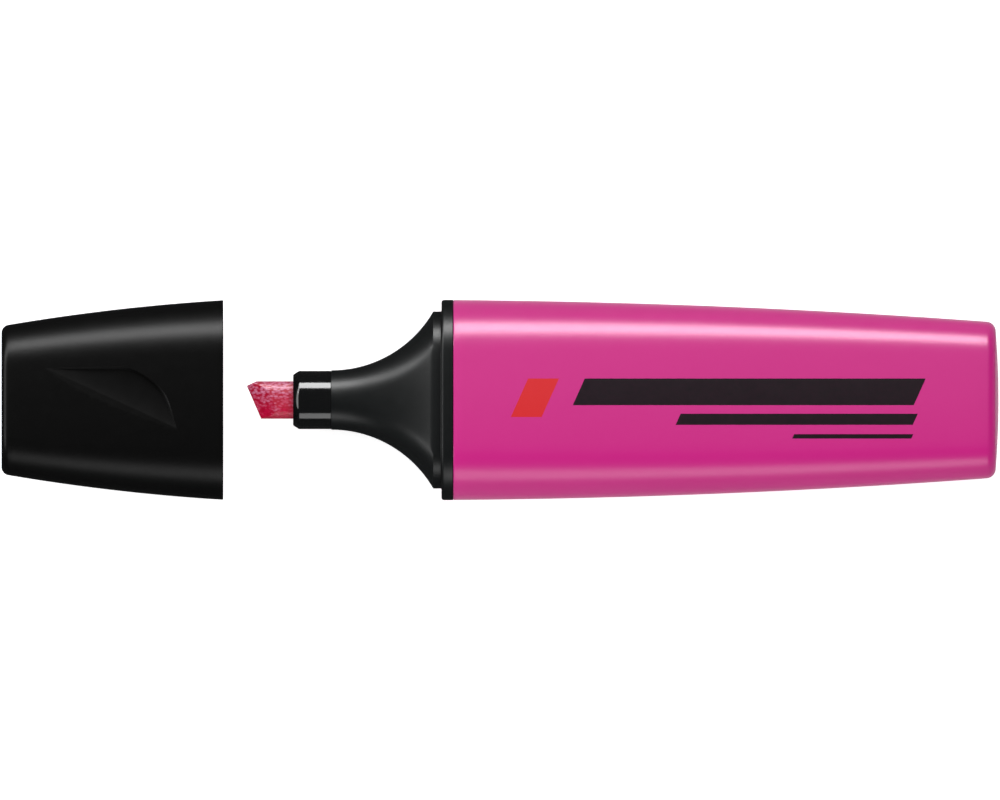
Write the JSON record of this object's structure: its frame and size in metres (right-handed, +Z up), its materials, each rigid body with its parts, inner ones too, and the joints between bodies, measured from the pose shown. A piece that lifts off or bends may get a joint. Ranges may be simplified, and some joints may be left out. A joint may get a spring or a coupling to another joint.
{
  "type": "highlighter",
  "caption": "Flat wide-bodied highlighter with a slanted chisel nib, a flared front section, a fibre ink core and a pull-off cap that seals on the ferrule.",
  "frame": {"origin": "middle of the footprint of the pen and its drawn-off cap, on the surface that they lie on", "axes": "+X along the pen's axis towards its tail, +Y across its width, +Z up, across its thickness"},
  "size_m": [0.1344, 0.027, 0.017],
  "materials": {
    "barrel_plastic": "moulded, semi-gloss pink",
    "front_plastic": "moulded, satin black",
    "ferrule_plastic": "moulded, gloss black",
    "nib_fibre": "porous, soaked with fluorescent pink ink",
    "core_fibre": "bonded fibre, soaked with ink",
    "core_film": "thin clear film",
    "cap_plastic": "moulded, satin black",
    "seal_plastic": "moulded, soft black"
  },
  "bodies": {
    "pen": {"barrel": "barrel_plastic", "front_section": "front_plastic", "ferrule": "ferrule_plastic", "nib": "nib_fibre", "reservoir_core": "core_fibre", "reservoir_film": "core_film"},
    "cap": {"cap_shell": "cap_plastic", "inner_cap": "seal_plastic"}
  },
  "joints": [
    {"name": "cap_slide", "type": "slide", "parent": "pen", "child": "cap", "axis": [1, 0, 0], "range_m": [0, 0.0294]}
  ]
}
